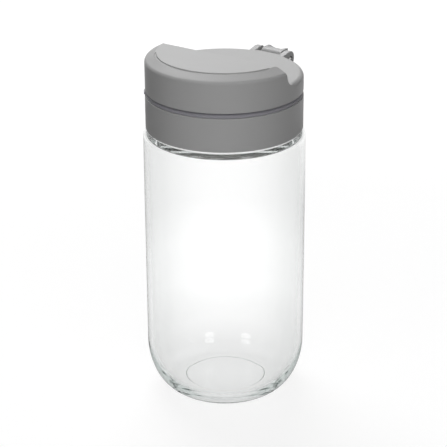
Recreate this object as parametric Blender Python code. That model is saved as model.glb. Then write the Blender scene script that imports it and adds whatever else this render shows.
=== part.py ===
"""Glass storage jar with a screw collar and a flip-up lid.

Metres, +Z up. The origin is the centre of the jar's foot. The hinge is at the back (+Y), the lid opens
from the front (-Y). Everything turned has the jar's own axis, which is the Z axis.
"""

import math

import bmesh
import bpy
from mathutils import Matrix, Vector

# Running and seating clearances
SEAT_GAP = 0.0003
RUNNING_GAP = 0.0010

# Glass jar
JAR_RADIUS = 0.0420
FOOT_RADIUS = 0.0245
FOOT_CORNER_HEIGHT = 0.0280
GLASS_WALL = 0.0025
GLASS_FLOOR = 0.0050
FLOOR_SET_IN = 0.0005
SHOULDER_START = 0.1436
SHOULDER_RISE = 0.0047
SHOULDER_LENGTH = 0.0050
INNER_SHOULDER_RISE = 0.0022
NECK_SET_IN = 0.0055
NECK_WALL = 0.0030
NECK_HEIGHT = 0.0132
RIM_ROUNDING = 0.0010
NECK_ROUNDING = 0.0006

# Ring seal between the glass rim and the collar
JAR_GASKET_THICKNESS = 0.0018
JAR_GASKET_OVERHANG = 0.0015
GASKET_ROUNDING = 0.0005

# Screw collar
THREAD_ROOM = 0.0017
COLLAR_WALL = 0.0024
COLLAR_FOOT_GAP = 0.0003
COLLAR_DECK = 0.0023
COLLAR_ROUNDING = 0.0010
COLLAR_FOOT_ROUNDING = 0.0003
POUR_LEDGE = 0.0035
LIP_WALL = 0.0020
LIP_HEIGHT = 0.0018
LIP_ROUNDING = 0.0007

# Lid gasket on the collar's deck, with its pull tab
LID_GASKET_THICKNESS = 0.0020
LID_GASKET_SET_IN = 0.0005
LID_GASKET_ROUNDING = 0.0007
TAB_PROUD = 0.0004
TAB_WIDTH = 0.0050
TAB_THICKNESS = 0.0013
TAB_AZIMUTH = math.radians(218.0)

# Flip lid
LID_SET_IN = 0.0001
LID_WALL = 0.0022
LID_HEIGHT = 0.0190
LID_BEVEL_WIDTH = 0.0056
LID_BEVEL_DROP = 0.0032
LID_BEVEL_ROUNDING = 0.0040
DECK_HEIGHT = 0.0089
DECK_ROUNDING = 0.0025
RIDGE_Y = -0.0047
RIDGE_ROUNDING = 0.0014
STEP_FOOT_Y = -0.0019
STEP_FOOT_ROUNDING = 0.0045
STEP_FADE = 0.0050
FRONT_SINK = 0.0060
GROOVE_WIDTH = 0.0009
GROOVE_DEPTH = 0.0005
GROOVE_LEFT_ANGLE = math.radians(54.0)
GROOVE_RIGHT_ANGLE = math.radians(74.0)

# Inner plate of the lid
LINER_THICKNESS = 0.0018
DISH_DEPTH = 0.0044
DISH_ROUNDING = 0.0012

# Hinge
PIN_STAND_OFF = 0.0051
PIN_HEIGHT = 0.00505
PIN_RADIUS = 0.0011
EAR_RADIUS = 0.0034
EAR_INNER_X = 0.0074
EAR_OUTER_X = 0.0109
BRIDGE_RISE = 0.00075
BRIDGE_GAP = 0.0008
BRIDGE_ROUNDING = 0.0006
PIN_RECESS = 0.0004
KNUCKLE_HALF_WIDTH = 0.0061
KNUCKLE_RADIUS = 0.0032
KNUCKLE_TAIL = 0.0046
KNUCKLE_BACK_LEAN = 0.0009
KNUCKLE_ROOT_DROP = 0.0105
KNUCKLE_STEM_GAP = 0.0007
KNUCKLE_BEND_ROUNDING = 0.0040
KNUCKLE_WAIST_ROUNDING = 0.0020
KNUCKLE_FOOT_ROUNDING = 0.0008
KNUCKLE_TIP_ROUNDING = 0.0003
SCOOP_DEPTH = 0.0012
SCOOP_HALF_WIDTH = 0.0050
SCOOP_LENGTH = 0.0030
FULL_ROUND = 0.98

# Roundness of the turned pieces
STEPS = 64
ARC_STEP = math.radians(30.0)

# Radii that follow from the jar's
NECK_RADIUS = JAR_RADIUS - NECK_SET_IN
MOUTH_RADIUS = NECK_RADIUS - NECK_WALL
JAR_GASKET_BORE = MOUTH_RADIUS - JAR_GASKET_OVERHANG
POUR_RADIUS = MOUTH_RADIUS - POUR_LEDGE
LIP_RADIUS = POUR_RADIUS + LIP_WALL
COLLAR_BORE = NECK_RADIUS + THREAD_ROOM
COLLAR_RADIUS = COLLAR_BORE + COLLAR_WALL
LID_GASKET_RADIUS = COLLAR_RADIUS - LID_GASKET_SET_IN
TAB_REACH = COLLAR_RADIUS + TAB_PROUD
LID_RADIUS = COLLAR_RADIUS - LID_SET_IN
GROOVE_RADIUS = LID_RADIUS - LID_BEVEL_WIDTH
LINER_RADIUS = LID_RADIUS - LID_WALL - SEAT_GAP
DISH_RADIUS = POUR_RADIUS - RUNNING_GAP
PIN_Y = LID_RADIUS + PIN_STAND_OFF
KNUCKLE_BACK_Y = PIN_Y + KNUCKLE_TAIL
FAR = 3.0 * JAR_RADIUS

# Levels that follow from the stack of pieces
SHOULDER_TOP = SHOULDER_START + SHOULDER_RISE
NECK_TOP = SHOULDER_TOP + NECK_HEIGHT
GASKET_BASE = NECK_TOP + SEAT_GAP
COLLAR_DECK_UNDER = GASKET_BASE + JAR_GASKET_THICKNESS + SEAT_GAP
COLLAR_TOP = COLLAR_DECK_UNDER + COLLAR_DECK
COLLAR_FOOT = SHOULDER_TOP + COLLAR_FOOT_GAP
LID_GASKET_BASE = COLLAR_TOP + SEAT_GAP
LID_BASE = LID_GASKET_BASE + LID_GASKET_THICKNESS + SEAT_GAP
LID_TOP = LID_BASE + LID_HEIGHT
DECK_TOP = LID_BASE + DECK_HEIGHT
PIN_Z = LID_BASE + PIN_HEIGHT


def clear_scene():
    """Remove the objects that the scene starts with."""
    for obj in list(bpy.data.objects):
        bpy.data.objects.remove(obj)


def material(name, colour, roughness, metallic=0.0, transmission=0.0):
    """A Principled material."""
    mat = bpy.data.materials.new(name)
    mat.use_nodes = True
    shader = mat.node_tree.nodes["Principled BSDF"]
    shader.inputs["Base Color"].default_value = (*colour, 1.0)
    shader.inputs["Roughness"].default_value = roughness
    shader.inputs["Metallic"].default_value = metallic
    shader.inputs["Transmission Weight"].default_value = transmission
    return mat


def place(name, mesh, mat=None, location=(0.0, 0.0, 0.0)):
    """Make an object of a bmesh, smooth on its round faces."""
    bmesh.ops.recalc_face_normals(mesh, faces=mesh.faces)
    data = bpy.data.meshes.new(name)
    mesh.to_mesh(data)
    mesh.free()
    data.shade_smooth()
    data.set_sharp_from_angle(angle=math.radians(35.0))
    obj = bpy.data.objects.new(name, data)
    obj.location = location
    bpy.context.collection.objects.link(obj)
    if mat:
        data.materials.append(mat)
    return obj


def rounded(corners):
    """Turn corners (a, b) or (a, b, radius) into points, with an arc at each corner that has a radius."""
    points = []
    for i, corner in enumerate(corners):
        here = Vector(corner[:2])
        radius = corner[2] if len(corner) > 2 else 0.0
        if not radius:
            points.append(here)
            continue
        before = (Vector(corners[i - 1][:2]) - here).normalized()
        after = (Vector(corners[(i + 1) % len(corners)][:2]) - here).normalized()
        half = before.angle(after) / 2
        reach = radius / math.tan(half)
        centre = here + (before + after).normalized() * (radius / math.sin(half))
        start = here + before * reach - centre
        turn = math.pi - 2 * half
        if start.cross(here + after * reach - centre) < 0:
            turn = -turn
        count = max(2, math.ceil(abs(turn) / ARC_STEP))
        for k in range(count + 1):
            angle = turn * k / count
            points.append(centre + Matrix.Rotation(angle, 2) @ start)
    return points


def quarter(centre, width, height, start, end, count):
    """Points on an ellipse's arc from start to end degrees, as (radius, level)."""
    points = []
    for k in range(count + 1):
        angle = math.radians(start + (end - start) * k / count)
        points.append(Vector((centre[0] + width * math.cos(angle), centre[1] + height * math.sin(angle))))
    return points


def turned(outline, angle=2 * math.pi, start=0.0):
    """Spin a closed outline of (radius, level) points about the Z axis."""
    mesh = bmesh.new()
    loop = [mesh.verts.new((r * math.cos(start), r * math.sin(start), z)) for r, z in outline]
    edges = [mesh.edges.new((loop[i], loop[(i + 1) % len(loop)])) for i in range(len(loop))]
    full = angle > 2 * math.pi - 1e-6
    axis_edges = [e for e in edges if max(math.hypot(v.co.x, v.co.y) for v in e.verts) < 1e-7]
    for edge in axis_edges:
        mesh.edges.remove(edge)
    steps = max(2, round(STEPS * angle / (2 * math.pi)))
    bmesh.ops.spin(mesh, geom=mesh.verts[:] + mesh.edges[:], cent=(0, 0, 0), axis=(0, 0, 1),
                   angle=angle, steps=steps, use_merge=full, use_duplicate=False)
    bmesh.ops.remove_doubles(mesh, verts=mesh.verts, dist=1e-6)
    if not full:
        bmesh.ops.holes_fill(mesh, edges=[e for e in mesh.edges if e.is_boundary])
    return mesh


def extruded(outline, x_from, x_to):
    """Extrude a closed outline of (y, z) points along X."""
    mesh = bmesh.new()
    face = mesh.faces.new([mesh.verts.new((x_from, y, z)) for y, z in outline])
    grown = bmesh.ops.extrude_face_region(mesh, geom=[face])
    moved = [v for v in grown["geom"] if isinstance(v, bmesh.types.BMVert)]
    bmesh.ops.translate(mesh, verts=moved, vec=(x_to - x_from, 0, 0))
    return mesh


def rod_along_x(radius, half_length, segments=24):
    """A round bar along X, centred on the origin."""
    mesh = bmesh.new()
    bmesh.ops.create_cone(mesh, cap_ends=True, segments=segments, radius1=radius, radius2=radius,
                          depth=2 * half_length, matrix=Matrix.Rotation(math.pi / 2, 4, "Y"))
    return mesh


def combine(target, tool, operation):
    """Join, cut or intersect the target with a hidden tool object."""
    tool.hide_render = True
    tool.display_type = "WIRE"
    step = target.modifiers.new(operation.title() + " " + tool.name, "BOOLEAN")
    step.object = tool
    step.operation = operation
    step.solver = "EXACT"


def glass_jar(mat):
    """The jar: a rounded foot, a straight wall, a short shoulder and a neck, with a thick floor."""
    foot_width = JAR_RADIUS - FOOT_RADIUS
    outside = [Vector((0, 0))]
    outside += quarter((FOOT_RADIUS, FOOT_CORNER_HEIGHT), foot_width, FOOT_CORNER_HEIGHT, -90, 0, 8)
    outside += quarter((JAR_RADIUS - SHOULDER_LENGTH, SHOULDER_START), SHOULDER_LENGTH,
                       SHOULDER_RISE, 0, 90, 5)
    outside += rounded([
        (JAR_RADIUS - SHOULDER_LENGTH, SHOULDER_TOP),
        (NECK_RADIUS, SHOULDER_TOP, NECK_ROUNDING * 0.5),
        (NECK_RADIUS, NECK_TOP, RIM_ROUNDING),
        (MOUTH_RADIUS, NECK_TOP, RIM_ROUNDING),
        (MOUTH_RADIUS, SHOULDER_START + INNER_SHOULDER_RISE),
    ])[1:-1]
    inner_radius = JAR_RADIUS - GLASS_WALL
    shoulder_inside = quarter((MOUTH_RADIUS, SHOULDER_START), inner_radius - MOUTH_RADIUS,
                              INNER_SHOULDER_RISE, 90, 0, 4)
    floor_radius = FOOT_RADIUS - FLOOR_SET_IN
    corner_top = FOOT_CORNER_HEIGHT
    floor_corner = quarter((floor_radius, corner_top), inner_radius - floor_radius,
                           corner_top - GLASS_FLOOR, 0, -90, 6)
    inside = shoulder_inside + floor_corner + [Vector((0, GLASS_FLOOR))]
    return place("glass_jar", turned(outside + inside), mat)


def jar_gasket(mat):
    """The flat ring that lies on the glass rim, inside the collar."""
    radius = COLLAR_BORE - SEAT_GAP
    top = GASKET_BASE + JAR_GASKET_THICKNESS
    ring = rounded([
        (JAR_GASKET_BORE, GASKET_BASE, GASKET_ROUNDING),
        (radius, GASKET_BASE),
        (radius, top),
        (JAR_GASKET_BORE, top, GASKET_ROUNDING),
    ])
    return place("jar_gasket", turned(ring), mat)


def knuckle_outline():
    """The side view of the collar's hinge knuckle: a bracket that grows out of the wall to the pin."""
    inside = COLLAR_RADIUS - COLLAR_WALL / 2
    top = PIN_Z + KNUCKLE_RADIUS
    root = COLLAR_TOP - KNUCKLE_ROOT_DROP
    return rounded([
        (inside, root),
        (COLLAR_RADIUS, root),
        (KNUCKLE_BACK_Y - KNUCKLE_BACK_LEAN, COLLAR_TOP, KNUCKLE_BEND_ROUNDING),
        (KNUCKLE_BACK_Y, top, KNUCKLE_TIP_ROUNDING),
        (PIN_Y - KNUCKLE_RADIUS, top, KNUCKLE_RADIUS * FULL_ROUND),
        (PIN_Y - KNUCKLE_RADIUS, PIN_Z - KNUCKLE_RADIUS, KNUCKLE_WAIST_ROUNDING),
        (LID_RADIUS + KNUCKLE_STEM_GAP, COLLAR_TOP, KNUCKLE_FOOT_ROUNDING),
        (inside, COLLAR_TOP - COLLAR_DECK / 2),
    ])


def screw_collar(mat):
    """The collar: a skirt round the neck, a deck with the pouring mouth, its lip and the knuckle."""
    ring = rounded([
        (COLLAR_RADIUS, COLLAR_FOOT, COLLAR_FOOT_ROUNDING),
        (COLLAR_RADIUS, COLLAR_TOP, COLLAR_ROUNDING),
        (LIP_RADIUS, COLLAR_TOP),
        (LIP_RADIUS, COLLAR_TOP + LIP_HEIGHT, LIP_ROUNDING),
        (POUR_RADIUS, COLLAR_TOP + LIP_HEIGHT, LIP_ROUNDING),
        (POUR_RADIUS, COLLAR_DECK_UNDER),
        (COLLAR_BORE, COLLAR_DECK_UNDER, COLLAR_ROUNDING / 2),
        (COLLAR_BORE, COLLAR_FOOT),
    ])
    collar = place("screw_collar", turned(ring), mat)
    knuckle = place("knuckle_form", extruded(knuckle_outline(), -KNUCKLE_HALF_WIDTH, KNUCKLE_HALF_WIDTH))
    combine(collar, knuckle, "UNION")

    scoop_radius = (SCOOP_HALF_WIDTH ** 2 + SCOOP_DEPTH ** 2) / (2 * SCOOP_DEPTH)
    scoop_mesh = bmesh.new()
    bmesh.ops.create_cone(scoop_mesh, cap_ends=True, segments=64, radius1=scoop_radius,
                          radius2=scoop_radius, depth=2 * SCOOP_LENGTH,
                          matrix=Matrix.Rotation(math.pi / 2, 4, "X"))
    scoop_level = PIN_Z + KNUCKLE_RADIUS - SCOOP_DEPTH + scoop_radius
    scoop = place("scoop_cutter", scoop_mesh, location=(0.0, KNUCKLE_BACK_Y, scoop_level))
    combine(collar, scoop, "DIFFERENCE")

    bore = place("knuckle_bore", rod_along_x(PIN_RADIUS + SEAT_GAP, EAR_INNER_X),
                 location=(0.0, PIN_Y, PIN_Z))
    combine(collar, bore, "DIFFERENCE")
    return collar


def lid_gasket(mat):
    """The ring round the lip, on the collar's deck, with its pull tab."""
    bore = LIP_RADIUS + SEAT_GAP
    top = LID_GASKET_BASE + LID_GASKET_THICKNESS
    ring = rounded([
        (bore, LID_GASKET_BASE),
        (LID_GASKET_RADIUS, LID_GASKET_BASE, LID_GASKET_ROUNDING),
        (LID_GASKET_RADIUS, top, LID_GASKET_ROUNDING),
        (bore, top),
    ])
    gasket = place("lid_gasket", turned(ring), mat)
    middle = LID_GASKET_BASE + LID_GASKET_THICKNESS / 2
    tab_mesh = bmesh.new()
    tab_length = TAB_REACH - LIP_RADIUS - 2 * LIP_WALL
    bmesh.ops.create_cube(tab_mesh, size=1.0)
    bmesh.ops.scale(tab_mesh, verts=tab_mesh.verts, vec=(tab_length, TAB_WIDTH, TAB_THICKNESS))
    bmesh.ops.bevel(tab_mesh, geom=tab_mesh.edges[:], offset=TAB_THICKNESS / 4, segments=2,
                    affect="EDGES", profile=0.5, material=-1)
    bmesh.ops.translate(tab_mesh, verts=tab_mesh.verts, vec=(TAB_REACH - tab_length / 2, 0, middle))
    bmesh.ops.rotate(tab_mesh, verts=tab_mesh.verts, cent=(0, 0, 0),
                     matrix=Matrix.Rotation(TAB_AZIMUTH, 3, "Z"))
    tab = place("tab_form", tab_mesh)
    combine(gasket, tab, "UNION")
    return gasket


def step_outline(inset):
    """The side view of the lid's high front: ridge, steep step and its fade into the deck's edge."""
    top = LID_TOP - inset
    deck = DECK_TOP - inset
    lean = (STEP_FOOT_Y - RIDGE_Y) / (LID_TOP - DECK_TOP)
    shift = inset * math.hypot(1.0, lean) - inset * lean
    ridge = RIDGE_Y - shift - inset * lean
    foot = ridge + lean * (top - deck)
    curve = rounded([
        (-FAR, top),
        (ridge, top, RIDGE_ROUNDING),
        (foot, deck, STEP_FOOT_ROUNDING),
        (foot + STEP_FOOT_ROUNDING + STEP_FADE, deck),
    ])[1:-1]
    start = curve[0]
    end = curve[-1]
    return [
        Vector((-FAR, LID_BASE - FAR)),
        Vector((-FAR, LID_TOP + FAR)),
        Vector((start.x, LID_TOP + FAR)),
    ] + curve + [
        Vector((end.x + STEP_FADE, deck - DECK_ROUNDING * 1.1)),
        Vector((end.x + STEP_FADE, LID_BASE - FAR)),
    ]


def lid_form(name, inset, base, mat=None):
    """The lid's outside, or its hollow when inset by the wall: a low drum with a high front on it."""
    radius = LID_RADIUS - inset
    low = rounded([
        (0, base),
        (radius, base),
        (radius, DECK_TOP - inset, max(DECK_ROUNDING - inset, DECK_ROUNDING / 4)),
        (0, DECK_TOP - inset),
    ])
    drum = place(name, turned(low), mat)
    slope = math.atan2(LID_BEVEL_DROP, LID_BEVEL_WIDTH)
    bevel_foot = LID_TOP - LID_BEVEL_DROP - inset * (1 - math.sin(slope)) / math.cos(slope)
    high = rounded([
        (0, DECK_TOP - inset - FRONT_SINK),
        (radius, DECK_TOP - inset - FRONT_SINK),
        (radius, bevel_foot, LID_BEVEL_ROUNDING),
        (GROOVE_RADIUS - inset * math.tan(slope / 2), LID_TOP - inset, LID_BEVEL_ROUNDING / 2),
        (0, LID_TOP - inset),
    ])
    front = place(name + "_front", turned(high))
    wedge = place(name + "_wedge", extruded(step_outline(inset), -FAR, FAR))
    combine(front, wedge, "INTERSECT")
    combine(drum, front, "UNION")
    return drum


def ear_outline():
    """The side view of a hinge ear: flush with the deck, round about the pin."""
    root = LID_RADIUS - LID_WALL * 2
    top = PIN_Z + EAR_RADIUS
    bottom = PIN_Z - EAR_RADIUS
    end = PIN_Y + EAR_RADIUS
    return rounded([
        (root, bottom - EAR_RADIUS / 4),
        (end, bottom, EAR_RADIUS * FULL_ROUND),
        (end, top, EAR_RADIUS * FULL_ROUND),
        (root, top),
    ])


def bridge_outline():
    """The side view of the bar between the ears, over the gap in front of the knuckle."""
    root = LID_RADIUS - LID_WALL * 2
    end = PIN_Y - KNUCKLE_RADIUS - BRIDGE_GAP
    under = PIN_Z + BRIDGE_RISE
    top = PIN_Z + EAR_RADIUS
    return rounded([
        (root, under),
        (end, under),
        (end, top, BRIDGE_ROUNDING),
        (root, top),
    ])


def flip_lid(mat):
    """The lid shell: high front, ridge, rear deck, two ears and their bridge, hollow from below."""
    lid = lid_form("flip_lid", 0.0, LID_BASE, mat)
    for side, x_from, x_to in (("right", EAR_INNER_X, EAR_OUTER_X), ("left", -EAR_OUTER_X, -EAR_INNER_X)):
        ear = place("ear_form_" + side, extruded(ear_outline(), x_from, x_to))
        combine(lid, ear, "UNION")
    ear_middle = (EAR_INNER_X + EAR_OUTER_X) / 2
    bridge = place("bridge_form", extruded(bridge_outline(), -ear_middle, ear_middle))
    combine(lid, bridge, "UNION")
    hollow = lid_form("lid_hollow", LID_WALL, LID_BASE - LID_WALL)
    combine(lid, hollow, "DIFFERENCE")
    bore = place("ear_bore", rod_along_x(PIN_RADIUS + SEAT_GAP, EAR_OUTER_X + LID_WALL),
                 location=(0.0, PIN_Y, PIN_Z))
    combine(lid, bore, "DIFFERENCE")
    groove = [
        Vector((GROOVE_RADIUS - GROOVE_WIDTH / 2, LID_TOP + GROOVE_DEPTH)),
        Vector((GROOVE_RADIUS - GROOVE_WIDTH / 4, LID_TOP - GROOVE_DEPTH)),
        Vector((GROOVE_RADIUS + GROOVE_WIDTH / 4, LID_TOP - GROOVE_DEPTH)),
        Vector((GROOVE_RADIUS + GROOVE_WIDTH / 2, LID_TOP + GROOVE_DEPTH)),
    ]
    groove_ring = turned(groove, GROOVE_LEFT_ANGLE + GROOVE_RIGHT_ANGLE,
                         -math.pi / 2 - GROOVE_LEFT_ANGLE)
    combine(lid, place("groove_cutter", groove_ring), "DIFFERENCE")
    return lid


def lid_liner(mat):
    """The plate that closes the lid from below, with the dish that centres it in the mouth."""
    dish_floor = LID_BASE - DISH_DEPTH
    inner = DISH_RADIUS - LINER_THICKNESS
    plate_top = LID_BASE + LINER_THICKNESS
    section = rounded([
        (0, dish_floor),
        (DISH_RADIUS, dish_floor, DISH_ROUNDING),
        (DISH_RADIUS, LID_BASE),
        (LINER_RADIUS, LID_BASE),
        (LINER_RADIUS, plate_top),
        (inner, plate_top),
        (inner, dish_floor + LINER_THICKNESS, DISH_ROUNDING / 2),
        (0, dish_floor + LINER_THICKNESS),
    ])
    return place("lid_liner", turned(section), mat)


def hinge_pin(mat):
    """The pin through the ears and the knuckle, centred on the joint's axis."""
    mesh = rod_along_x(PIN_RADIUS, EAR_OUTER_X - PIN_RECESS)
    ends = [e for e in mesh.edges if abs(e.verts[0].co.x - e.verts[1].co.x) < 1e-6]
    bmesh.ops.bevel(mesh, geom=ends, offset=PIN_RADIUS / 5, segments=1, affect="EDGES",
                    profile=0.5, material=-1)
    return place("hinge_pin", mesh, mat, location=(0.0, PIN_Y, PIN_Z))


def set_origin(obj, point):
    """Move an object's origin to a point, with its mesh left where it is."""
    obj.data.transform(Matrix.Translation(obj.location - Vector(point)))
    obj.location = point


def build():
    """Make every piece."""
    clear_scene()
    glass = material("glass", (0.93, 0.96, 0.95), 0.02, transmission=1.0)
    grey_plastic = material("grey_plastic", (0.40, 0.40, 0.40), 0.44)
    liner_plastic = material("liner_plastic", (0.36, 0.36, 0.36), 0.45)
    silicone = material("silicone", (0.285, 0.28, 0.31), 0.6)
    clear_silicone = material("clear_silicone", (0.7, 0.7, 0.68), 0.5)
    steel = material("steel", (0.62, 0.62, 0.62), 0.25, metallic=1.0)
    glass_jar(glass)
    jar_gasket(clear_silicone)
    screw_collar(grey_plastic)
    lid_gasket(silicone)
    lid = flip_lid(grey_plastic)
    liner = lid_liner(liner_plastic)
    hinge_pin(steel)
    for piece in (lid, liner):
        set_origin(piece, (0.0, PIN_Y, PIN_Z))


build()
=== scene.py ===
import math

import bmesh
import bpy
from mathutils import Matrix, Vector


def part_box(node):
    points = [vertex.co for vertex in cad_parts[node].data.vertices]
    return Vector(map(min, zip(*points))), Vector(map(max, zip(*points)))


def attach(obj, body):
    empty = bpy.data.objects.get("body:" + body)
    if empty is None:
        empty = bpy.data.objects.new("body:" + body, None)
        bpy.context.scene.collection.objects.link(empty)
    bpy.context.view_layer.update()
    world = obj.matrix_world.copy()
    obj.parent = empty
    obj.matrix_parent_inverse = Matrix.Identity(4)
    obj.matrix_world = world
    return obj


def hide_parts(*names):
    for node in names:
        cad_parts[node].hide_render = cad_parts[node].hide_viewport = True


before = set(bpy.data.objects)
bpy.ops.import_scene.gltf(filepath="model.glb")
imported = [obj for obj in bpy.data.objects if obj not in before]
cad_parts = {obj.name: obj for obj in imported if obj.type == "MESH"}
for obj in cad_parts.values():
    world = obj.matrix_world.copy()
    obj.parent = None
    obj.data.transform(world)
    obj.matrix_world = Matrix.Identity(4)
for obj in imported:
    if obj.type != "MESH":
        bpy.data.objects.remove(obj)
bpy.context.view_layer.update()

# Glass jar. One blown moulding of clear soda glass: a flat foot with a fine ring round a shallow push-up, a
# wide rounded heel, a straight wall, a short shoulder with a sloped ledge inside, and a neck with one helical
# ridge that the collar screws on.

jar_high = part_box("glass_jar")[1]
jar_radius = jar_high.x
rim_level = jar_high.z
foot_radius = 0.0245
heel_height = 0.0280
glass_wall = 0.0027
floor_thickness = 0.0040
push_up = 0.0003
base_ring_radius = 0.0220
base_ring_half_width = 0.0002
base_ring_depth = 0.0004
base_ring_rounding = 0.0002
shoulder_level = rim_level - 0.0132
shoulder_rise = 0.0047
shoulder_length = 0.0050
ledge_foot = shoulder_level - 0.0042
ledge_slope = math.tan(math.radians(14.0))
ledge_rounding = 0.0011
neck_radius = jar_radius - 0.0055
neck_root_rounding = 0.0006
mouth_radius = neck_radius - 0.0030
rim_rounding = 0.0012
glass_steps = 192
heel_steps = 40
inner_heel_steps = 36
shoulder_steps = 14

thread_pitch = 0.0040
thread_turns = 1.25
thread_height = 0.0011
thread_half_width = 0.0011
thread_run_in = 0.07
thread_start = shoulder_level + 0.0028
thread_spacing = 0.00025


def rounded(corners, arc_step=7.5):
    """Points (a, b) of a closed outline, with an arc at each corner that has a radius as third number."""
    points = []
    for i, corner in enumerate(corners):
        here = Vector(corner[:2])
        radius = corner[2] if len(corner) > 2 else 0.0
        if not radius:
            points.append(here)
            continue
        before = (Vector(corners[i - 1][:2]) - here).normalized()
        after = (Vector(corners[(i + 1) % len(corners)][:2]) - here).normalized()
        half = before.angle(after) / 2
        centre = here + (before + after).normalized() * (radius / math.sin(half))
        start = here + before * (radius / math.tan(half)) - centre
        turn = math.pi - 2 * half
        if before.cross(after) > 0:
            turn = -turn
        count = max(2, math.ceil(abs(turn) / math.radians(arc_step)))
        points += [centre + Matrix.Rotation(turn * k / count, 2) @ start for k in range(count + 1)]
    return points


def ellipse(centre, width, height, start, end, count):
    """Points on an ellipse from start to end degrees, as (radius, level)."""
    angles = [math.radians(start + (end - start) * k / count) for k in range(count + 1)]
    return [Vector((centre[0] + width * math.cos(a), centre[1] + height * math.sin(a))) for a in angles]


def straight(start, end, spacing):
    """Points between two ends, about one spacing apart, without the ends themselves."""
    start, end = Vector(start), Vector(end)
    count = max(1, round((end - start).length / spacing))
    return [start.lerp(end, k / count) for k in range(1, count)]


def turned(outline, steps, angle=2 * math.pi, start=0.0):
    """A bmesh spun about the Z axis from a closed outline of (radius, level) points."""
    mesh = bmesh.new()
    loop = [mesh.verts.new((r * math.cos(start), r * math.sin(start), z)) for r, z in outline]
    for i, vert in enumerate(loop):
        after = loop[(i + 1) % len(loop)]
        if max(math.hypot(*vert.co.xy), math.hypot(*after.co.xy)) > 1e-7:
            mesh.edges.new((vert, after))
    whole = angle > 2 * math.pi - 1e-6
    bmesh.ops.spin(mesh, geom=mesh.verts[:] + mesh.edges[:], cent=(0, 0, 0), axis=(0, 0, 1),
                   angle=angle, steps=steps, use_merge=whole, use_duplicate=False)
    bmesh.ops.remove_doubles(mesh, verts=mesh.verts, dist=1e-7)
    if not whole:
        bmesh.ops.holes_fill(mesh, edges=[e for e in mesh.edges if e.is_boundary])
    bmesh.ops.recalc_face_normals(mesh, faces=mesh.faces)
    return mesh


def as_object(name, mesh, sharp=40.0):
    """A smooth-shaded object at the origin made of a bmesh."""
    data = bpy.data.meshes.new(name)
    mesh.to_mesh(data)
    mesh.free()
    data.shade_smooth()
    data.set_sharp_from_angle(angle=math.radians(sharp))
    obj = bpy.data.objects.new(name, data)
    bpy.context.scene.collection.objects.link(obj)
    return obj


def thread_bulge(co, first_level, height):
    """How far the helical ridge stands out at a point of the neck, from 0 to height."""
    along = (math.atan2(co.y, co.x) / (2 * math.pi)) % 1.0
    bulge = 0.0
    while along <= thread_turns:
        off = abs(co.z - first_level - thread_pitch * along) / thread_half_width
        run_in = min(1.0, min(along, thread_turns - along) / thread_run_in)
        bulge = max(bulge, run_in * (3 - 2 * run_in) * run_in * max(0.0, 1 - off ** 3))
        along += 1.0
    return height * bulge


heel_width = jar_radius - foot_radius
inner_radius = jar_radius - glass_wall
floor_radius = foot_radius - 0.0016
support = 0.0006
thread_low = shoulder_level + 0.0007
thread_high = rim_level - 0.0014

outside = [Vector((0.0, push_up))]
outside += rounded([
    (0.0, push_up),
    (base_ring_radius - 2 * base_ring_half_width, push_up, base_ring_rounding),
    (base_ring_radius - base_ring_half_width, base_ring_depth, base_ring_rounding),
    (base_ring_radius + base_ring_half_width, 0.0, base_ring_rounding),
    (foot_radius, 0.0),
], 3.0)[1:]
outside += ellipse((foot_radius, heel_height), heel_width, heel_height, -90, 0, heel_steps)
outside += [Vector((jar_radius, heel_height + support)),
            Vector((jar_radius, shoulder_level - shoulder_rise - support))]
outside += ellipse((jar_radius - shoulder_length, shoulder_level - shoulder_rise), shoulder_length,
                   shoulder_rise, 0, 90, shoulder_steps)
outside += [Vector((neck_radius, thread_low))]
outside += straight((neck_radius, thread_low), (neck_radius, thread_high), thread_spacing)
outside += rounded([
    (neck_radius, thread_high),
    (neck_radius, rim_level, rim_rounding),
    (mouth_radius, rim_level, rim_rounding),
    (mouth_radius, thread_high),
])
inside = rounded([
    (mouth_radius, thread_high),
    (mouth_radius, ledge_foot + (inner_radius - mouth_radius) * ledge_slope, neck_root_rounding),
    (inner_radius, ledge_foot, ledge_rounding),
    (inner_radius, heel_height + support),
])[1:]
inside += ellipse((floor_radius, heel_height), inner_radius - floor_radius, heel_height - floor_thickness,
                  0, -90, inner_heel_steps)
inside += [Vector((floor_radius - support, floor_thickness)), Vector((0.0, floor_thickness))]

glass_mesh = turned(outside + inside, glass_steps)
for vert in glass_mesh.verts:
    if thread_low <= vert.co.z <= thread_high and math.hypot(*vert.co.xy) > neck_radius - 1e-5:
        grown = 1 + thread_bulge(vert.co, thread_start, thread_height) / neck_radius
        vert.co.xy *= grown
jar = as_object("jar_glass", glass_mesh, sharp=60.0)


def new_material(name):
    """A material with its Principled shader, and a short way to add and link nodes."""
    mat = bpy.data.materials.new(name)
    mat.use_nodes = True
    nodes = mat.node_tree.nodes
    shader = nodes["Principled BSDF"]
    where = nodes.new("ShaderNodeTexCoord").outputs["Object"]
    return mat, nodes, mat.node_tree.links, shader, where


def noise(nodes, links, where, scale, detail=4.0, roughness=0.5):
    """A noise pattern's factor at an object point; scale is in repeats per metre."""
    node = nodes.new("ShaderNodeTexNoise")
    node.inputs["Scale"].default_value = scale
    node.inputs["Detail"].default_value = detail
    node.inputs["Roughness"].default_value = roughness
    links.new(where, node.inputs["Vector"])
    return node.outputs["Fac"]


def ranged(nodes, links, value, low, high, from_low=0.3, from_high=0.7):
    """A pattern's value spread over a new range."""
    node = nodes.new("ShaderNodeMapRange")
    node.inputs["From Min"].default_value = from_low
    node.inputs["From Max"].default_value = from_high
    node.inputs["To Min"].default_value = low
    node.inputs["To Max"].default_value = high
    links.new(value, node.inputs["Value"])
    return node.outputs["Result"]


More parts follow.
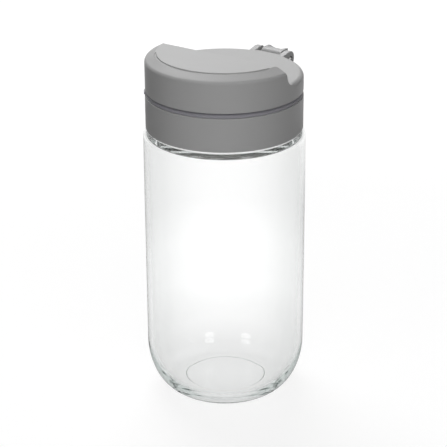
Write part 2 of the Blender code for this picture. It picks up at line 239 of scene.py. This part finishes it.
def bumped(nodes, links, height, distance, strength=1.0, normal=None):
    """A normal raised by a height pattern; distance is in metres."""
    node = nodes.new("ShaderNodeBump")
    node.inputs["Distance"].default_value = distance
    node.inputs["Strength"].default_value = strength
    links.new(height, node.inputs["Height"])
    if normal:
        links.new(normal, node.inputs["Normal"])
    return node.outputs["Normal"]


glass, nodes, links, shader, where = new_material("clear_glass")
shader.inputs["Transmission Weight"].default_value = 1.0
shader.inputs["IOR"].default_value = 1.5
shader.inputs["Roughness"].default_value = 0.0
wavy = noise(nodes, links, where, 35.0, detail=1.0)
links.new(bumped(nodes, links, wavy, 0.00010, 0.4), shader.inputs["Normal"])
# Painted shade: the glass greys towards grazing view, darkening its edges beyond what the tint's absorption
# gives.
slant = nodes.new("ShaderNodeLayerWeight")
slant.inputs["Blend"].default_value = 0.5
painted_edge_shade = nodes.new("ShaderNodeMix")
painted_edge_shade.data_type = "RGBA"
links.new(ranged(nodes, links, slant.outputs["Facing"], 0.0, 1.0, 0.05, 0.42), painted_edge_shade.inputs["Factor"])
painted_edge_shade.inputs["A"].default_value = (1.0, 1.0, 1.0, 1.0)
painted_edge_shade.inputs["B"].default_value = (0.88, 0.885, 0.883, 1.0)
links.new(painted_edge_shade.outputs["Result"], shader.inputs["Base Color"])
tint = nodes.new("ShaderNodeVolumeAbsorption")
tint.inputs["Color"].default_value = (0.72, 0.77, 0.755, 1.0)
tint.inputs["Density"].default_value = 14.0
links.new(tint.outputs["Volume"], nodes["Material Output"].inputs["Volume"])
jar.data.materials.append(glass)
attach(jar, "jar")
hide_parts("glass_jar")

# Ring seal. A flat moulded ring of milky silicone, pressed between the glass rim and the collar's deck. It
# stays in the collar when the jar is opened.

seal_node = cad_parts["jar_gasket"]
milky, nodes, links, shader, where = new_material("milky_silicone")
shader.inputs["Base Color"].default_value = (0.72, 0.72, 0.70, 1.0)
shader.inputs["Subsurface Weight"].default_value = 0.3
shader.inputs["Subsurface Radius"].default_value = (0.002, 0.002, 0.002)
mottled = noise(nodes, links, where, 900.0)
links.new(ranged(nodes, links, mottled, 0.42, 0.58), shader.inputs["Roughness"])
links.new(bumped(nodes, links, mottled, 0.00004, 0.5), shader.inputs["Normal"])
seal_node.data.materials.clear()
seal_node.data.materials.append(milky)

# Screw collar. A satin grey moulding: a plain skirt with a thread inside, a deck with the round pouring mouth
# and its lip, and at the back a bracket that ends in the hinge knuckle.

collar_low, collar_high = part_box("screw_collar")
collar_radius = collar_high.x
collar_foot = collar_low.z
gasket_low, gasket_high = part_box("lid_gasket")
seat_gap = 0.0003
collar_top = gasket_low.z - seat_gap
collar_wall = 0.0024
collar_deck = 0.0023
collar_rounding = 0.0005
edge_ease = 0.0003
collar_bore = collar_radius - collar_wall
pour_radius = mouth_radius - 0.0035
lip_radius = pour_radius + 0.0020
lip_height = 0.0018
lip_rounding = 0.0007
pin_low, pin_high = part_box("hinge_pin")
pin_y = (pin_low.y + pin_high.y) / 2
pin_z = (pin_low.z + pin_high.z) / 2
pin_radius = (pin_high.z - pin_low.z) / 2
knuckle_half_width = 0.0061
knuckle_radius = 0.0032
knuckle_rise = 0.0041
knuckle_back = collar_high.y
knuckle_lean = 0.0009
knuckle_back_rounding = 0.0040
knuckle_waist_rounding = 0.0020
knuckle_root = collar_top - 0.0105
knuckle_clearance = 0.0007
knuckle_foot_rounding = 0.0008
full_round = 0.98
lid_low, lid_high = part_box("flip_lid")
lid_radius = lid_high.x
scoop_depth = 0.0012
scoop_half_width = 0.0050
scoop_length = 0.0030


def extruded(outline, x_from, x_to):
    """A bmesh of a closed (y, z) outline, extruded along X."""
    mesh = bmesh.new()
    face = mesh.faces.new([mesh.verts.new((x_from, y, z)) for y, z in outline])
    grown = bmesh.ops.extrude_face_region(mesh, geom=[face])
    moved = [v for v in grown["geom"] if isinstance(v, bmesh.types.BMVert)]
    bmesh.ops.translate(mesh, verts=moved, vec=(x_to - x_from, 0, 0))
    bmesh.ops.recalc_face_normals(mesh, faces=mesh.faces)
    return mesh


def rod(radius, length, axis, centre, segments=64):
    """A bmesh of a round bar along X or Y."""
    mesh = bmesh.new()
    turn = Matrix.Rotation(math.pi / 2, 4, "Y" if axis == "X" else "X")
    bmesh.ops.create_cone(mesh, cap_ends=True, segments=segments, radius1=radius, radius2=radius,
                          depth=length, matrix=Matrix.Translation(centre) @ turn)
    return mesh


def combined(target, operations, sharp=35.0):
    """The target with other bmeshes joined, cut or intersected, applied to one clean mesh."""
    tools = []
    for operation, mesh in operations:
        tool = mesh if isinstance(mesh, bpy.types.Object) else as_object("tool", mesh)
        step = target.modifiers.new(operation, "BOOLEAN")
        step.object = tool
        step.operation = operation
        step.solver = "EXACT"
        tools.append(tool)
    bpy.context.view_layer.update()
    whole = target.evaluated_get(bpy.context.evaluated_depsgraph_get())
    made = bpy.data.meshes.new_from_object(whole)
    target.modifiers.clear()
    for tool in tools:
        bpy.data.objects.remove(tool)
    clean = bmesh.new()
    clean.from_mesh(made)
    bmesh.ops.remove_doubles(clean, verts=clean.verts, dist=2e-6)
    bmesh.ops.dissolve_degenerate(clean, dist=1e-6, edges=clean.edges)
    clean.to_mesh(made)
    clean.free()
    target.data = made
    made.shade_smooth()
    made.set_sharp_from_angle(angle=math.radians(sharp))
    return target


def even_shading(obj):
    """Let the large flat faces keep their own normal, so that roundings don't shade across them."""
    step = obj.modifiers.new("flat faces first", "WEIGHTED_NORMAL")
    step.keep_sharp = True
    step.weight = 100


collar_deck_under = collar_top - collar_deck
thread_floor = collar_foot + 0.0008
thread_roof = collar_deck_under - 0.0012
skirt = rounded([
    (collar_radius, collar_foot, edge_ease),
    (collar_radius, collar_top, collar_rounding),
    (lip_radius, collar_top, edge_ease),
    (lip_radius, collar_top + lip_height, lip_rounding),
    (pour_radius, collar_top + lip_height, lip_rounding),
    (pour_radius, collar_deck_under, 0.0004),
    (collar_bore, collar_deck_under, 0.0005),
    (collar_bore, thread_roof),
    *straight((collar_bore, thread_roof), (collar_bore, thread_floor), 0.0003),
    (collar_bore, thread_floor),
    (collar_bore, collar_foot, edge_ease),
], 10.0)
collar_mesh = turned(skirt, 160)
for vert in collar_mesh.verts:
    if thread_floor < vert.co.z < thread_roof and abs(math.hypot(*vert.co.xy) - collar_bore) < 1e-5:
        inward = thread_bulge(vert.co, thread_start + thread_pitch / 2, thread_height)
        vert.co.xy *= 1 - inward / collar_bore
collar = as_object("collar_shell", collar_mesh)

knuckle_top = pin_z + knuckle_rise
inside_wall = collar_radius - collar_wall / 2
knuckle = rounded([
    (inside_wall, knuckle_root),
    (collar_radius, knuckle_root),
    (knuckle_back - knuckle_lean, collar_top, knuckle_back_rounding),
    (knuckle_back, knuckle_top, edge_ease),
    (pin_y - knuckle_radius, knuckle_top, knuckle_radius * full_round),
    (pin_y - knuckle_radius, pin_z - knuckle_radius, knuckle_waist_rounding),
    (lid_radius + knuckle_clearance, collar_top, knuckle_foot_rounding),
    (inside_wall, collar_top - collar_deck / 2),
], 10.0)
knuckle_mesh = extruded(knuckle, -knuckle_half_width, knuckle_half_width)
scoop_radius = (scoop_half_width ** 2 + scoop_depth ** 2) / (2 * scoop_depth)
scoop_centre = (0.0, knuckle_back, knuckle_top - scoop_depth + scoop_radius)
combined(collar, [
    ("UNION", knuckle_mesh),
    ("DIFFERENCE", rod(scoop_radius, 2 * scoop_length, "Y", scoop_centre, 180)),
    ("DIFFERENCE", rod(pin_radius + seat_gap, 2 * knuckle_half_width + 0.002, "X", (0.0, pin_y, pin_z), 40)),
])
even_shading(collar)


def moulded_plastic(name, colour, gloss_low, gloss_high, grain):
    """Satin polypropylene: faint flow marks in its colour and gloss, and a fine spark-eroded grain."""
    mat, nodes, links, shader, where = new_material(name)
    flow = noise(nodes, links, where, 22.0, detail=3.0)
    shade = nodes.new("ShaderNodeMix")
    shade.data_type = "RGBA"
    links.new(ranged(nodes, links, flow, 0.0, 1.0), shade.inputs["Factor"])
    shade.inputs["A"].default_value = (*[c * 0.985 for c in colour], 1.0)
    shade.inputs["B"].default_value = (*[c * 1.015 for c in colour], 1.0)
    links.new(shade.outputs["Result"], shader.inputs["Base Color"])
    spark = noise(nodes, links, where, 2600.0, detail=5.0, roughness=0.6)
    gloss = noise(nodes, links, where, 60.0, detail=4.0)
    links.new(ranged(nodes, links, gloss, gloss_low, gloss_high), shader.inputs["Roughness"])
    wave = bumped(nodes, links, flow, 0.0006, 0.05)
    links.new(bumped(nodes, links, spark, grain, 0.35, wave), shader.inputs["Normal"])
    shader.inputs["IOR"].default_value = 1.49
    return mat


grey_plastic = moulded_plastic("grey_plastic", (0.400, 0.400, 0.400), 0.40, 0.50, 0.00003)
collar.data.materials.clear()
collar.data.materials.append(grey_plastic)
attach(collar, "collar")
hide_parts("screw_collar")

# Lid gasket. A soft ring of darker, faintly violet silicone round the lip, with a small pull tab at the left.

gasket_radius = collar_radius - 0.0006
gasket_foot = collar_top + 0.0001
gasket_rounding = 0.0001
gasket_slope_width = 0.0022
gasket_slope_drop = 0.0010
tab_reach = collar_radius + 0.0004
tab_length = 0.0040
tab_width = 0.0050
tab_thickness = 0.0013
tab_azimuth = math.radians(218.0)
gasket_bore = lip_radius + seat_gap
gasket_outline = rounded([
    (gasket_bore, gasket_foot, edge_ease),
    (gasket_radius, gasket_foot, gasket_rounding),
    (gasket_radius, gasket_high.z - gasket_slope_drop, gasket_slope_drop / 2),
    (gasket_radius - gasket_slope_width, gasket_high.z, gasket_slope_drop),
    (gasket_bore, gasket_high.z, edge_ease),
], 15.0)
gasket = as_object("seal_ring", turned(gasket_outline, 160))
tab_mesh = bmesh.new()
bmesh.ops.create_cube(tab_mesh, size=1.0)
bmesh.ops.scale(tab_mesh, verts=tab_mesh.verts, vec=(tab_length, tab_width, tab_thickness))
bmesh.ops.bevel(tab_mesh, geom=tab_mesh.edges[:], offset=tab_thickness * 0.3, segments=4,
                affect="EDGES", profile=0.5, material=-1)
tab_place = Matrix.Rotation(tab_azimuth, 4, "Z") @ Matrix.Translation(
    (tab_reach - tab_length / 2, 0.0, (gasket_low.z + gasket_high.z) / 2))
bmesh.ops.transform(tab_mesh, matrix=tab_place, verts=tab_mesh.verts)
combined(gasket, [("UNION", tab_mesh)])

silicone, nodes, links, shader, where = new_material("grey_silicone")
shader.inputs["Base Color"].default_value = (0.285, 0.280, 0.310, 1.0)
shader.inputs["Sheen Weight"].default_value = 0.15
shader.inputs["Sheen Roughness"].default_value = 0.5
dusty = noise(nodes, links, where, 700.0)
links.new(ranged(nodes, links, dusty, 0.52, 0.68), shader.inputs["Roughness"])
links.new(bumped(nodes, links, dusty, 0.00004, 0.4), shader.inputs["Normal"])
gasket.data.materials.clear()
gasket.data.materials.append(silicone)
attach(gasket, "collar")
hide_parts("lid_gasket")

# Flip lid. A hollow shell of the collar's plastic: a high front with a sloping rim and an engraved arc, a
# straight ridge with a steep hollow step behind it, a low deck, and two ears on the pin, joined by a bridge.

lid_base = lid_low.z
lid_top = lid_high.z
lid_wall = 0.0022
bevel_width = 0.0056
bevel_drop = 0.0032
bevel_rounding = 0.0022
deck_top = lid_base + 0.0089
deck_rounding = 0.0025
ridge_y = -0.0047
ridge_rounding = 0.0014
step_foot_y = -0.0019
step_foot_rounding = 0.0045
step_fade = 0.0050
front_sink = 0.0060
groove_radius = lid_radius - bevel_width
groove_half_width = 0.00065
groove_depth = 0.00080
groove_from = math.radians(-90.0 - 55.0)
groove_to = math.radians(-90.0 + 75.0)
groove_run_out = 0.0020
ear_root = lid_radius - 2 * lid_wall
ear_radius = 0.0034
ear_rise = 0.0043
ear_foot_drop = 0.00425
ear_deck_rise = 0.0030
ear_crown_rounding = 0.0030
ear_inner_x = 0.0074
ear_outer_x = 0.0109
ear_edge_round = 0.0004
pin_recess_radius = pin_radius + 0.0008
pin_recess_depth = 0.0020
bridge_back = pin_y - 0.0048
bridge_under = pin_z + 0.00075
bridge_rounding = 0.0006
far = 3 * jar_radius


def step_outline(inset):
    """The side view of the high front: ridge, steep step, and its fade into the deck's edge."""
    top = lid_top - inset
    deck = deck_top - inset
    lean = (step_foot_y - ridge_y) / (lid_top - deck_top)
    ridge = ridge_y - inset * math.hypot(1.0, lean)
    foot = ridge + lean * (top - deck)
    curve = rounded([
        (-far, top),
        (ridge, top, ridge_rounding),
        (foot, deck, step_foot_rounding),
        (foot + step_foot_rounding + step_fade, deck),
    ], 5.0)[1:-1]
    fade = curve[-1].x + step_fade
    below, above = lid_base - far, lid_top + far
    return [Vector((-far, below)), Vector((-far, above)), Vector((curve[0].x, above)), *curve,
            Vector((fade, deck - deck_rounding * 1.1)), Vector((fade, below))]


def lid_form(name, inset, base, steps):
    """The outside of the lid, or its hollow when inset by the wall."""
    radius = lid_radius - inset
    deck = deck_top - inset
    drum = as_object(name, turned(rounded([
        (0.0, base),
        (radius, base, edge_ease),
        (radius, deck, max(deck_rounding - inset, deck_rounding / 4)),
        (0.0, deck),
    ]), steps))
    slope = math.atan2(bevel_drop, bevel_width)
    bevel_foot = lid_top - bevel_drop - inset * (1 - math.sin(slope)) / math.cos(slope)
    front = as_object(name + "_front", turned(rounded([
        (0.0, deck - front_sink),
        (radius, deck - front_sink),
        (radius, bevel_foot, bevel_rounding),
        (groove_radius - inset * math.tan(slope / 2), lid_top - inset, bevel_rounding / 2),
        (0.0, lid_top - inset),
    ], 5.0), steps))
    combined(front, [("INTERSECT", extruded(step_outline(inset), -far, far))])
    return combined(drum, [("UNION", front)])


ear_outline = rounded([
    (ear_root, pin_z - ear_foot_drop),
    (pin_y + ear_radius, pin_z - ear_radius, ear_radius * full_round),
    (pin_y + ear_radius, pin_z + ear_rise, ear_radius * full_round),
    (pin_y - ear_radius / 2, pin_z + ear_rise, ear_crown_rounding),
    (ear_root, pin_z + ear_deck_rise),
], 7.5)


def ear(x_from, x_to):
    """One hinge ear with its long edges eased."""
    mesh = extruded(ear_outline, x_from, x_to)
    rims = [e for e in mesh.edges if abs(e.verts[0].co.x - e.verts[1].co.x) < 1e-7]
    bmesh.ops.bevel(mesh, geom=rims, offset=ear_edge_round, segments=3, affect="EDGES", profile=0.5,
                    material=-1)
    return mesh


ear_middle = (ear_inner_x + ear_outer_x) / 2
bridge = extruded(rounded([
    (ear_root, bridge_under),
    (bridge_back, bridge_under, edge_ease),
    (bridge_back, pin_z + ear_radius, bridge_rounding),
    (ear_root, pin_z + ear_radius),
], 10.0), -ear_middle, ear_middle)


def groove_cutter():
    """The curved bar that engraves the arc: an ellipse in section, rounded off at both ends."""
    mesh = turned(ellipse((groove_radius, lid_top), groove_half_width, groove_depth, 7.5, 352.5, 23),
                  90, groove_to - groove_from, groove_from)
    for vert in mesh.verts:
        turn = (math.atan2(vert.co.y, vert.co.x) - groove_from) % (2 * math.pi)
        from_end = max(0.0, min(turn, groove_to - groove_from - turn)) * groove_radius
        left = 1 - min(1.0, from_end / groove_run_out)
        centre = Vector((*(vert.co.xy.normalized() * groove_radius), lid_top))
        vert.co = centre + (vert.co - centre) * max(0.1, math.sqrt(1 - left * left))
    return mesh


lid = lid_form("lid_shell", 0.0, lid_base, 160)
pin_hole = rod(pin_radius + seat_gap, 2 * ear_outer_x + 0.004, "X", (0.0, pin_y, pin_z), 40)
combined(lid, [
    ("UNION", ear(ear_inner_x, ear_outer_x)),
    ("UNION", ear(-ear_outer_x, -ear_inner_x)),
    ("UNION", bridge),
    ("DIFFERENCE", lid_form("lid_hollow", lid_wall, lid_base - lid_wall, 96)),
    ("DIFFERENCE", pin_hole),
    *[("DIFFERENCE", rod(pin_recess_radius, 2 * pin_recess_depth, "X", (x, pin_y, pin_z), 40))
      for x in (ear_outer_x, -ear_outer_x)],
    ("DIFFERENCE", groove_cutter()),
])
even_shading(lid)
lid.data.materials.clear()
lid.data.materials.append(grey_plastic)
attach(lid, "lid")
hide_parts("flip_lid")

# Lid liner. The inner plate that closes the shell from below, with the shallow dish that centres the lid in
# the mouth. It is pressed into the shell and never comes out in use.

liner_low, liner_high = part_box("lid_liner")
liner_radius = liner_high.x
liner_thickness = 0.0018
dish_radius = pour_radius - 0.0010
dish_rounding = 0.0012
liner_outline = rounded([
    (0.0, liner_low.z),
    (dish_radius, liner_low.z, dish_rounding),
    (dish_radius, lid_base, edge_ease),
    (liner_radius, lid_base, edge_ease),
    (liner_radius, liner_high.z),
    (dish_radius - liner_thickness, liner_high.z),
    (dish_radius - liner_thickness, liner_low.z + liner_thickness, dish_rounding / 2),
    (0.0, liner_low.z + liner_thickness),
], 10.0)
liner = as_object("lid_inner_plate", turned(liner_outline, 160), 35.0)
even_shading(liner)
liner_plastic = moulded_plastic("liner_plastic", (0.36, 0.36, 0.36), 0.42, 0.55, 0.00003)
liner.data.materials.append(liner_plastic)
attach(liner, "lid")
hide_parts("lid_liner")

# Hinge pin. A ground stainless rod through the knuckle and both ears. Its ends stand in a round recess, a
# little below the ears' faces.

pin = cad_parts["hinge_pin"]
steel, nodes, links, shader, where = new_material("steel")
shader.inputs["Base Color"].default_value = (0.62, 0.62, 0.61, 1.0)
shader.inputs["Metallic"].default_value = 1.0
brushed = nodes.new("ShaderNodeMapping")
brushed.inputs["Scale"].default_value = (1.0, 14.0, 14.0)
links.new(where, brushed.inputs["Vector"])
grind = noise(nodes, links, brushed.outputs["Vector"], 400.0)
links.new(ranged(nodes, links, grind, 0.18, 0.36), shader.inputs["Roughness"])
links.new(bumped(nodes, links, grind, 0.00002, 0.3), shader.inputs["Normal"])
pin.data.materials.clear()
pin.data.materials.append(steel)

# Studio. A pale paper floor that runs up to a white backdrop behind the jar, and a dimmer room in front. Seen
# through the glass, the floor's glow carries painted shade in soft rings round the foot. A large soft light
# hangs behind and above the lid, a weaker one stands near the camera, and two small lamps beside the camera
# give the two highlights low in the glass.

backdrop_way = (-math.sin(math.radians(35.0)), math.cos(math.radians(35.0)), 0.0)
sweep_way = (-math.sin(math.radians(15.0)), math.cos(math.radians(15.0)), 0.0)
world = bpy.data.worlds.new("studio")
bpy.context.scene.world = world
world.use_nodes = True
nodes = world.node_tree.nodes
links = world.node_tree.links


def towards(way, nodes, links, where, low, high, least):
    """From least to 1 as a direction or a place goes from the room's side to the backdrop's side."""
    along = nodes.new("ShaderNodeVectorMath")
    along.operation = "DOT_PRODUCT"
    along.inputs[1].default_value = way
    links.new(where, along.inputs[0])
    return ranged(nodes, links, along.outputs["Value"], least, 1.0, low, high)


def stepped(nodes, links, value, stops):
    """A value's way through (input, output) stops, straight between them and level beyond them."""
    reach = stops[-1][0]
    ramp = nodes.new("ShaderNodeValToRGB")
    marks = ramp.color_ramp.elements
    while len(marks) < len(stops):
        marks.new(0.5)
    for mark, (distance, level) in zip(marks, stops):
        mark.position = distance / reach
        mark.color = (level, level, level, 1.0)
    links.new(ranged(nodes, links, value, 0.0, 1.0, 0.0, reach), ramp.inputs["Fac"])
    return ramp.outputs["Color"]


def seen_directly(nodes, links, for_gloss):
    """1 for rays that come from the camera or through glass, for_gloss for reflections, else 0."""
    path = nodes.new("ShaderNodeLightPath")
    gloss = nodes.new("ShaderNodeMath")
    gloss.operation = "MULTIPLY"
    links.new(path.outputs["Is Glossy Ray"], gloss.inputs[0])
    links.new(for_gloss, gloss.inputs[1])
    value = gloss.outputs[0]
    for kind in ("Is Camera Ray", "Is Transmission Ray"):
        either = nodes.new("ShaderNodeMath")
        either.operation = "MAXIMUM"
        links.new(value, either.inputs[0])
        links.new(path.outputs[kind], either.inputs[1])
        value = either.outputs[0]
    return value


surround_light = 0.06
around = nodes["Background"]
around.inputs["Color"].default_value = (1.0, 1.0, 1.0, 1.0)
direction = nodes.new("ShaderNodeTexCoord").outputs["Generated"]
gloss = towards(backdrop_way, nodes, links, direction, 0.70, 0.95, 0.10)
links.new(ranged(nodes, links, seen_directly(nodes, links, gloss), surround_light, 1.0, 0.0, 1.0),
          around.inputs["Strength"])

paper_radius = 4.0
paper_drop = 0.0002
floor_mesh = bmesh.new()
bmesh.ops.create_circle(floor_mesh, cap_ends=True, segments=96, radius=paper_radius)
bmesh.ops.translate(floor_mesh, verts=floor_mesh.verts, vec=(0, 0, -paper_drop))
floor = as_object("floor", floor_mesh)
paper, nodes, links, shader, where = new_material("pale_floor")
shader.inputs["Base Color"].default_value = (0.18, 0.18, 0.18, 1.0)
shader.inputs["Roughness"].default_value = 0.9
shader.inputs["Specular IOR Level"].default_value = 0.0
shader.inputs["Emission Color"].default_value = (1.0, 1.0, 1.0, 1.0)
gloss = towards(sweep_way, nodes, links, where, 0.25, 0.45, 0.1)
away = nodes.new("ShaderNodeVectorMath")
away.operation = "LENGTH"
links.new(where, away.inputs[0])
sweep = ranged(nodes, links, away.outputs["Value"], 0.84, 1.0, 0.30, 1.2)
# Painted shade: through the glass the floor's glow dips in soft rings round the jar's foot, standing in for
# the shadow of the jar and lid on the floor.
painted_shade_rings = stepped(nodes, links, away.outputs["Value"], (
    (0.024, 0.86), (0.045, 0.757), (0.071, 0.845), (0.10, 0.93), (0.13, 1.0), (0.20, 1.0), (0.28, 0.89)))
path = nodes.new("ShaderNodeLightPath")
seen = nodes.new("ShaderNodeMix")
links.new(path.outputs["Is Transmission Ray"], seen.inputs["Factor"])
links.new(sweep, seen.inputs["A"])
links.new(painted_shade_rings, seen.inputs["B"])
strength = nodes.new("ShaderNodeMath")
strength.operation = "MULTIPLY"
links.new(seen_directly(nodes, links, gloss), strength.inputs[0])
links.new(seen.outputs["Result"], strength.inputs[1])
links.new(strength.outputs[0], shader.inputs["Emission Strength"])
floor.data.materials.append(paper)


def soft_light(name, place, target, size, watts, in_gloss=True, in_glass=True):
    """A round area light that faces a target, and whether gloss and glass show it."""
    lamp = bpy.data.lights.new(name, "AREA")
    lamp.shape = "DISK"
    lamp.size = size
    lamp.energy = watts
    obj = bpy.data.objects.new(name, lamp)
    obj.location = place
    aim = Vector(target) - Vector(place)
    obj.rotation_euler = aim.to_track_quat("-Z", "Y").to_euler()
    obj.visible_glossy = in_gloss
    obj.visible_transmission = in_glass
    bpy.context.scene.collection.objects.link(obj)


lid_centre = (0.0, 0.0, lid_top)
jar_middle = (0.0, 0.0, 0.13)
overhead_place = (-0.60, 0.52, 1.20)
overhead_size = 0.9
soft_light("overhead", overhead_place, lid_centre, overhead_size, 14.2, in_glass=False)
soft_light("overhead_glow", overhead_place, lid_centre, overhead_size, 3.2)
soft_light("front", (0.62, -0.88, 0.45), jar_middle, 1.0, 6.2, in_gloss=False, in_glass=False)
camera_bearing = -55.0
spark_distance = 0.87
spark_height = 0.80
for name, side in (("spark_left", -44.0), ("spark_right", 33.0)):
    bearing = math.radians(camera_bearing + side)
    place = (spark_distance * math.cos(bearing), spark_distance * math.sin(bearing), spark_height)
    soft_light(name, place, jar_middle, 0.34, 1.0)

# Camera. It stands in front and to the right of the jar and looks 23 degrees down on it through a long lens.

photo_side = 447
focal_pixels = 1634.0
camera_place = (0.45492, -0.64969, 0.43660)
camera_azimuth = math.radians(35.0)
camera_pitch = math.radians(23.4135)
camera_roll = math.radians(-0.243)
centre_pixel = (224.83, 223.56)
camera = bpy.data.cameras.new("photo_camera")
camera.sensor_width = 36.0
camera.lens = focal_pixels / photo_side * camera.sensor_width
camera.shift_x = (photo_side / 2 - centre_pixel[0]) / photo_side
camera.shift_y = (centre_pixel[1] - photo_side / 2) / photo_side
camera.clip_start = 0.01
camera_object = bpy.data.objects.new("photo_camera", camera)
camera_object.matrix_world = (
    Matrix.Translation(camera_place)
    @ Matrix.Rotation(camera_azimuth, 4, "Z")
    @ Matrix.Rotation(math.pi / 2 - camera_pitch, 4, "X")
    @ Matrix.Rotation(camera_roll, 4, "Z")
)
bpy.context.scene.collection.objects.link(camera_object)
bpy.context.scene.camera = camera_object

scene = bpy.context.scene
scene.view_settings.view_transform = "Standard"
scene.cycles.max_bounces = 80
scene.cycles.transmission_bounces = 32
scene.cycles.transparent_max_bounces = 16
scene.cycles.glossy_bounces = 64
